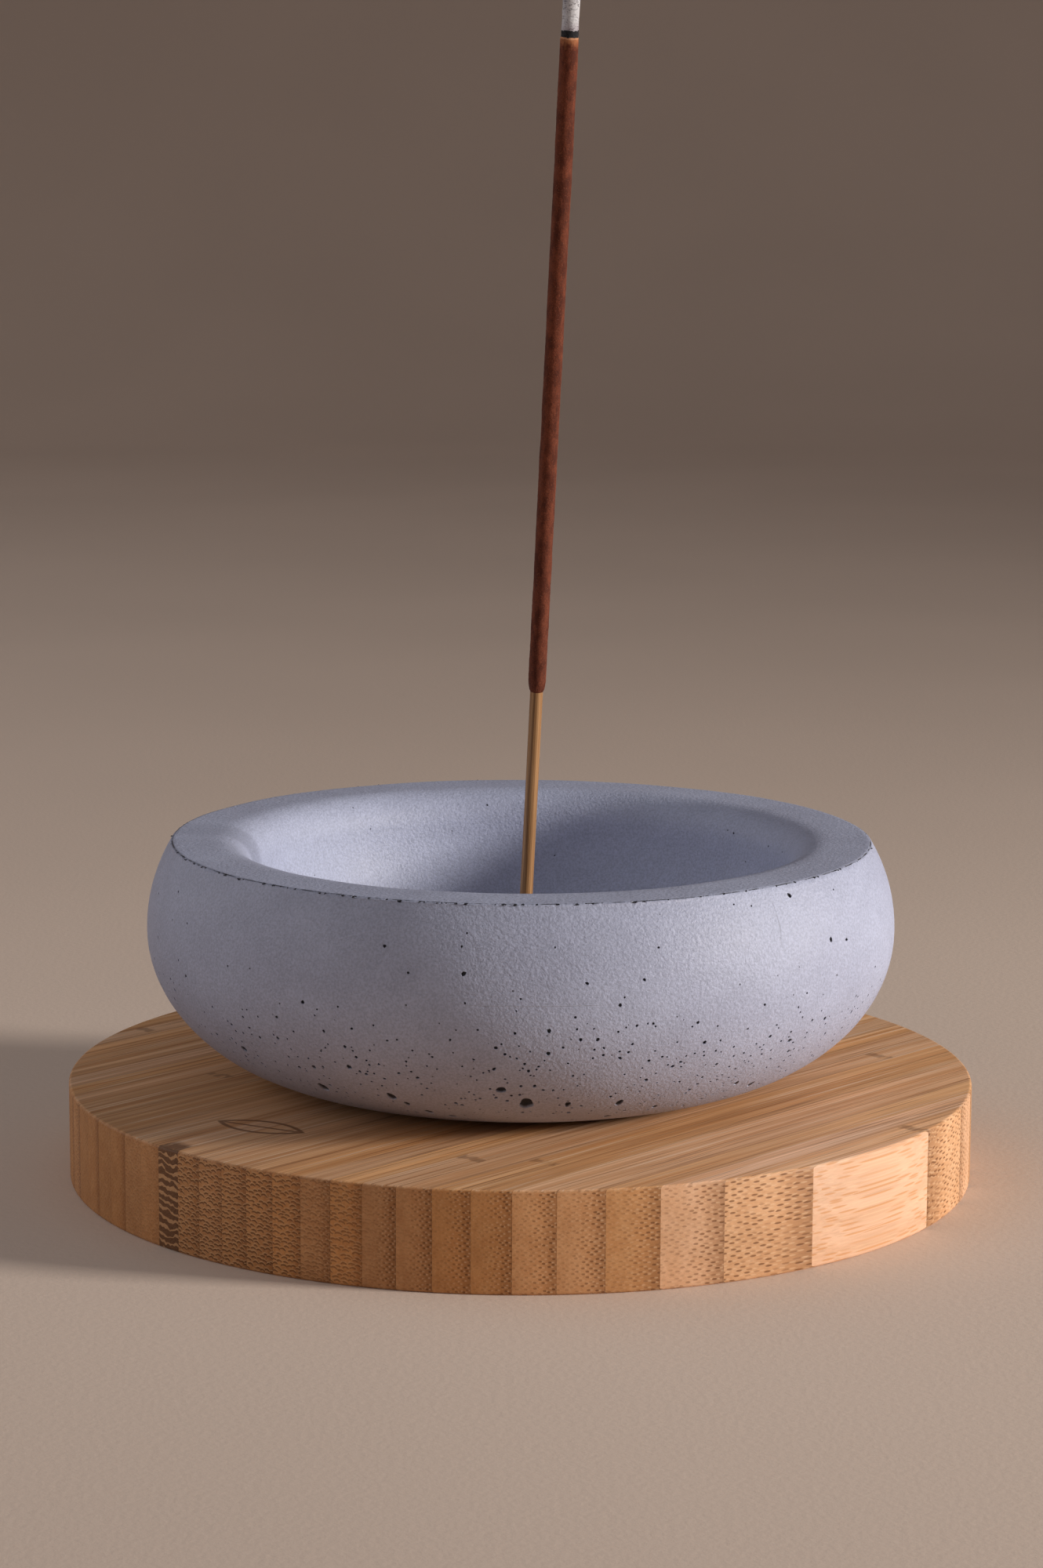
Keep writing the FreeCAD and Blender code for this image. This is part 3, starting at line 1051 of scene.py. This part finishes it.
def ash_material():
    """Ash that keeps the stick's shape: pale grey, flaking in small curls, dark in its cracks."""
    g = Graph("standing_ash")
    place = g.turned(STICK_TURN)
    from_char = g.minus(g.split(place)[2], TURNED_FLOOR + CHAR_END)
    flake = g.noise(place, (0.55, 0.55, 0.22), detail=3.0, roughness=0.65, distortion=0.9)
    cloud = g.noise(place, (1.6, 1.6, 2.4), (2.0, 0, 0))
    color = g.mix(g.ease(cloud, 0.3, 0.7), rgb(0.42, 0.41, 0.44), rgb(0.64, 0.64, 0.67))
    color = g.mix(g.ease(flake, 0.46, 0.36, 0.0, 0.85), color, rgb(0.07, 0.06, 0.075))
    fresh = g.ease(g.add(from_char, g.swing(cloud, 1.6)), 1.9, 0.1)
    color = g.paint(color, rgb(0.30, 0.25, 0.29), fresh, 0.55)
    rough = g.ease(flake, 0.3, 0.7, 0.85, 0.97)
    return g.finish(color, rough, flake, 0.12, 0.15)


def floor_material():
    """Pale warm studio floor, very slightly textured."""
    g = Graph("studio_floor")
    place = g.turned()
    paper = g.noise(place, (1.1, 1.1, 1.1), detail=3.0, roughness=0.55)
    broad = g.noise(place, (160.0, 160.0, 160.0), detail=1.0)
    color = g.shade((0.68, 0.55, 0.46), g.ease(broad, 0.3, 0.7, 0.985, 1.015))
    rough = g.ease(paper, 0.3, 0.7, 0.75, 0.85)
    return g.finish(color, rough, paper, 0.06, 0.2)


# ---- stage, lights and camera ----
def make_stage():
    """Round floor that turns up into a wall all round, so that every view has the same backdrop."""
    floor_radius, turn_radius, wall_height, corners = 1500.0, 900.0, 2600.0, 128
    outline = [(120.0, 0.0), (600.0, 0.0)]
    outline += arc((floor_radius, turn_radius), turn_radius, -90, 0, 24)
    outline += [(floor_radius + turn_radius, wall_height)]
    points, rings = [], []
    for radius, height in outline:
        rings.append(range(len(points), len(points) + corners))
        points += level_ring(MM * radius, MM * height, corners)
    faces = [tuple(rings[0])]
    for inner, outer in zip(rings, rings[1:]):
        faces += bridge(outer, inner)
    mesh = bpy.data.meshes.new("stage_floor")
    mesh.from_pydata(points, [], faces)
    mesh.polygons.foreach_set("use_smooth", [True] * len(faces))
    mesh.materials.append(floor_material())
    add_object(mesh)


def make_light(name, azimuth, elevation, size, watts, color, spread=180):
    """Square lamp that looks at the bowl. Azimuth 0 is the front and 90 the right, in degrees.

    A spread under 180 degrees keeps the light off the floor next to the lamp.
    """
    distance = 1.25
    target = Vector((0, 0, 0.05))
    lamp = bpy.data.lights.new(name, "AREA")
    lamp.shape = "SQUARE"
    lamp.size = size
    lamp.energy = watts
    lamp.color = color
    lamp.spread = math.radians(spread)
    a, e = math.radians(azimuth), math.radians(elevation)
    toward = Vector((math.sin(a) * math.cos(e), -math.cos(a) * math.cos(e), math.sin(e)))
    light = bpy.data.objects.new(name, lamp)
    light.location = target + toward * distance
    light.rotation_euler = toward.to_track_quat("Z", "Y").to_euler()
    light.visible_camera = False
    bpy.context.scene.collection.objects.link(light)


def make_lights():
    """A small warm key from the right, two large cool lamps from the left and a cool room."""
    warm, cool, room = (1.0, 0.945, 0.885), (0.92, 0.95, 1.0), (0.93, 0.95, 1.0)
    make_light("key", azimuth=77, elevation=14, size=0.20, watts=4.3, color=warm, spread=90)
    make_light("fill", azimuth=-55, elevation=26, size=0.9, watts=2.1, color=room)
    make_light("back", azimuth=-112, elevation=20, size=0.8, watts=2.0, color=cool)
    world = bpy.data.worlds.new("soft_room")
    world.use_nodes = True
    background = world.node_tree.nodes["Background"]
    background.inputs["Color"].default_value = rgb(*room)
    background.inputs["Strength"].default_value = 0.24
    bpy.context.scene.world = world


def make_camera():
    """Low front view, a little above the rim, through an 85 mm lens."""
    place = (0.0, -0.5633, 0.1532)
    down, roll = math.radians(9.38), math.radians(0.23)
    data = bpy.data.cameras.new("camera")
    data.lens = 85.0
    data.sensor_width = 36.0
    camera = bpy.data.objects.new("camera", data)
    turn = Matrix.Rotation(math.pi / 2 - down, 4, "X") @ Matrix.Rotation(roll, 4, "Z")
    camera.matrix_world = Matrix.Translation(place) @ turn
    bpy.context.scene.collection.objects.link(camera)
    bpy.context.scene.camera = camera


make_camera()
make_stage()
make_lights()
make_strips(make_bamboo_materials())
make_bowl(concrete_material())
make_stick()
bpy.context.scene.view_settings.view_transform = "Standard"
